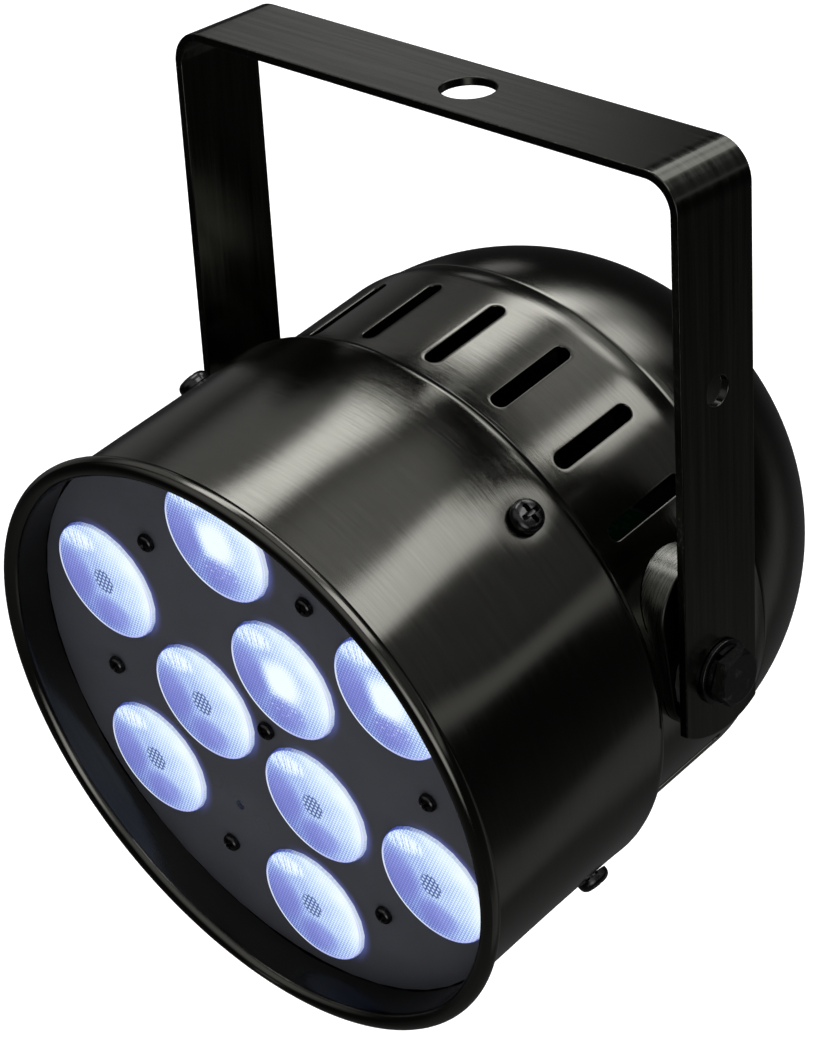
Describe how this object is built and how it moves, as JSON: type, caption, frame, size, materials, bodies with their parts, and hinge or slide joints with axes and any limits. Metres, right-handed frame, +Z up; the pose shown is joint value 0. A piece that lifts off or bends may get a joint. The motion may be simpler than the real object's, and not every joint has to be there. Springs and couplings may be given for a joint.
{
  "type": "par can light",
  "caption": "LED par can stage light: spun black can with lamp plate, round lenses, vent slots and rear dome, tilting in a bent strap yoke.",
  "frame": {"origin": "centre of the clamp hole on the top face of the yoke bar", "axes": "+Z up out of the yoke bar, X along the tilt axis, and the light points towards -Y, tilted 9.3 degrees down"},
  "size_m": [0.2122, 0.2248, 0.2757],
  "materials": {
    "strap_black": "satin black bent steel strap",
    "shell_black": "black anodised spun aluminium, brushed round, glossy",
    "plate_grey": "slate grey powder coat",
    "bare_metal": "plain aluminium",
    "circuit_white": "white solder mask",
    "circuit_green": "green solder mask",
    "panel_black": "satin black",
    "display_dark": "dark red window",
    "socket_black": "moulded black",
    "lens_lit": "clear lens lit blue-white from behind",
    "screw_black": "black plated",
    "button_grey": "moulded grey",
    "rail_plastic": "nylon",
    "fibre_washer": "dull black fibre",
    "bolt_black": "black plated steel"
  },
  "bodies": {
    "yoke": {"yoke": "strap_black"},
    "can": {"front_barrel": "shell_black", "vent_band": "shell_black", "rear_dome": "shell_black", "lamp_plate": "plate_grey", "plate_ring": "bare_metal", "led_board": "circuit_white", "heat_sink": "bare_metal", "driver_tray": "bare_metal", "driver_board": "circuit_green", "control_board": "circuit_green", "control_panel": "panel_black", "display_window": "display_dark", "data_in": "socket_black", "data_out": "socket_black", "data_out_core": "socket_black", "mains_inlet": "socket_black", "lens_1": "lens_lit", "lens_2": "lens_lit", "lens_3": "lens_lit", "lens_4": "lens_lit", "lens_5": "lens_lit", "lens_6": "lens_lit", "lens_7": "lens_lit", "lens_8": "lens_lit", "lens_9": "lens_lit", "plate_screw_1": "screw_black", "plate_screw_2": "screw_black", "plate_screw_3": "screw_black", "plate_screw_4": "screw_black", "plate_screw_5": "screw_black", "plate_screw_6": "screw_black", "plate_screw_7": "screw_black", "barrel_screw_1": "screw_black", "barrel_screw_2": "screw_black", "barrel_screw_3": "screw_black", "barrel_screw_4": "screw_black", "panel_screw_1": "screw_black", "panel_screw_2": "screw_black", "panel_screw_3": "screw_black", "panel_screw_4": "screw_black", "board_rail_left": "rail_plastic", "pivot_pad_left": "shell_black", "friction_washer_left": "fibre_washer", "tilt_nut_left": "bare_metal", "board_rail_right": "rail_plastic", "pivot_pad_right": "shell_black", "friction_washer_right": "fibre_washer", "tilt_nut_right": "bare_metal"},
    "bolt_left": {"tilt_bolt_left": "bolt_black", "flat_washer_left": "bolt_black", "spring_washer_left": "bolt_black"},
    "bolt_right": {"tilt_bolt_right": "bolt_black", "flat_washer_right": "bolt_black", "spring_washer_right": "bolt_black"},
    "button_1": {"button_1": "button_grey"},
    "button_2": {"button_2": "button_grey"},
    "button_3": {"button_3": "button_grey"},
    "button_4": {"button_4": "button_grey"}
  },
  "joints": [
    {"name": "can_tilt", "type": "hinge", "parent": "yoke", "child": "can", "pos_m": [-0.0085, 0, -0.1606], "axis": [1, 0, 0], "range_deg": [-73, 235]},
    {"name": "bolt_left_turn", "type": "hinge", "parent": "can", "child": "bolt_left", "pos_m": [-0.0085, 0, -0.1606], "axis": [-1, 0, 0], "range_deg": [0, 180]},
    {"name": "bolt_right_turn", "type": "hinge", "parent": "can", "child": "bolt_right", "pos_m": [-0.0085, 0, -0.1606], "axis": [1, 0, 0], "range_deg": [0, 180]},
    {"name": "button_1_press", "type": "slide", "parent": "can", "child": "button_1", "axis": [0, -0.9869, -0.1616], "range_m": [0, 0.0008], "stiffness_N_per_m": 300, "springref_m": -0.001},
    {"name": "button_2_press", "type": "slide", "parent": "can", "child": "button_2", "axis": [0, -0.9869, -0.1616], "range_m": [0, 0.0008], "stiffness_N_per_m": 300, "springref_m": -0.001},
    {"name": "button_3_press", "type": "slide", "parent": "can", "child": "button_3", "axis": [0, -0.9869, -0.1616], "range_m": [0, 0.0008], "stiffness_N_per_m": 300, "springref_m": -0.001},
    {"name": "button_4_press", "type": "slide", "parent": "can", "child": "button_4", "axis": [0, -0.9869, -0.1616], "range_m": [0, 0.0008], "stiffness_N_per_m": 300, "springref_m": -0.001}
  ]
}
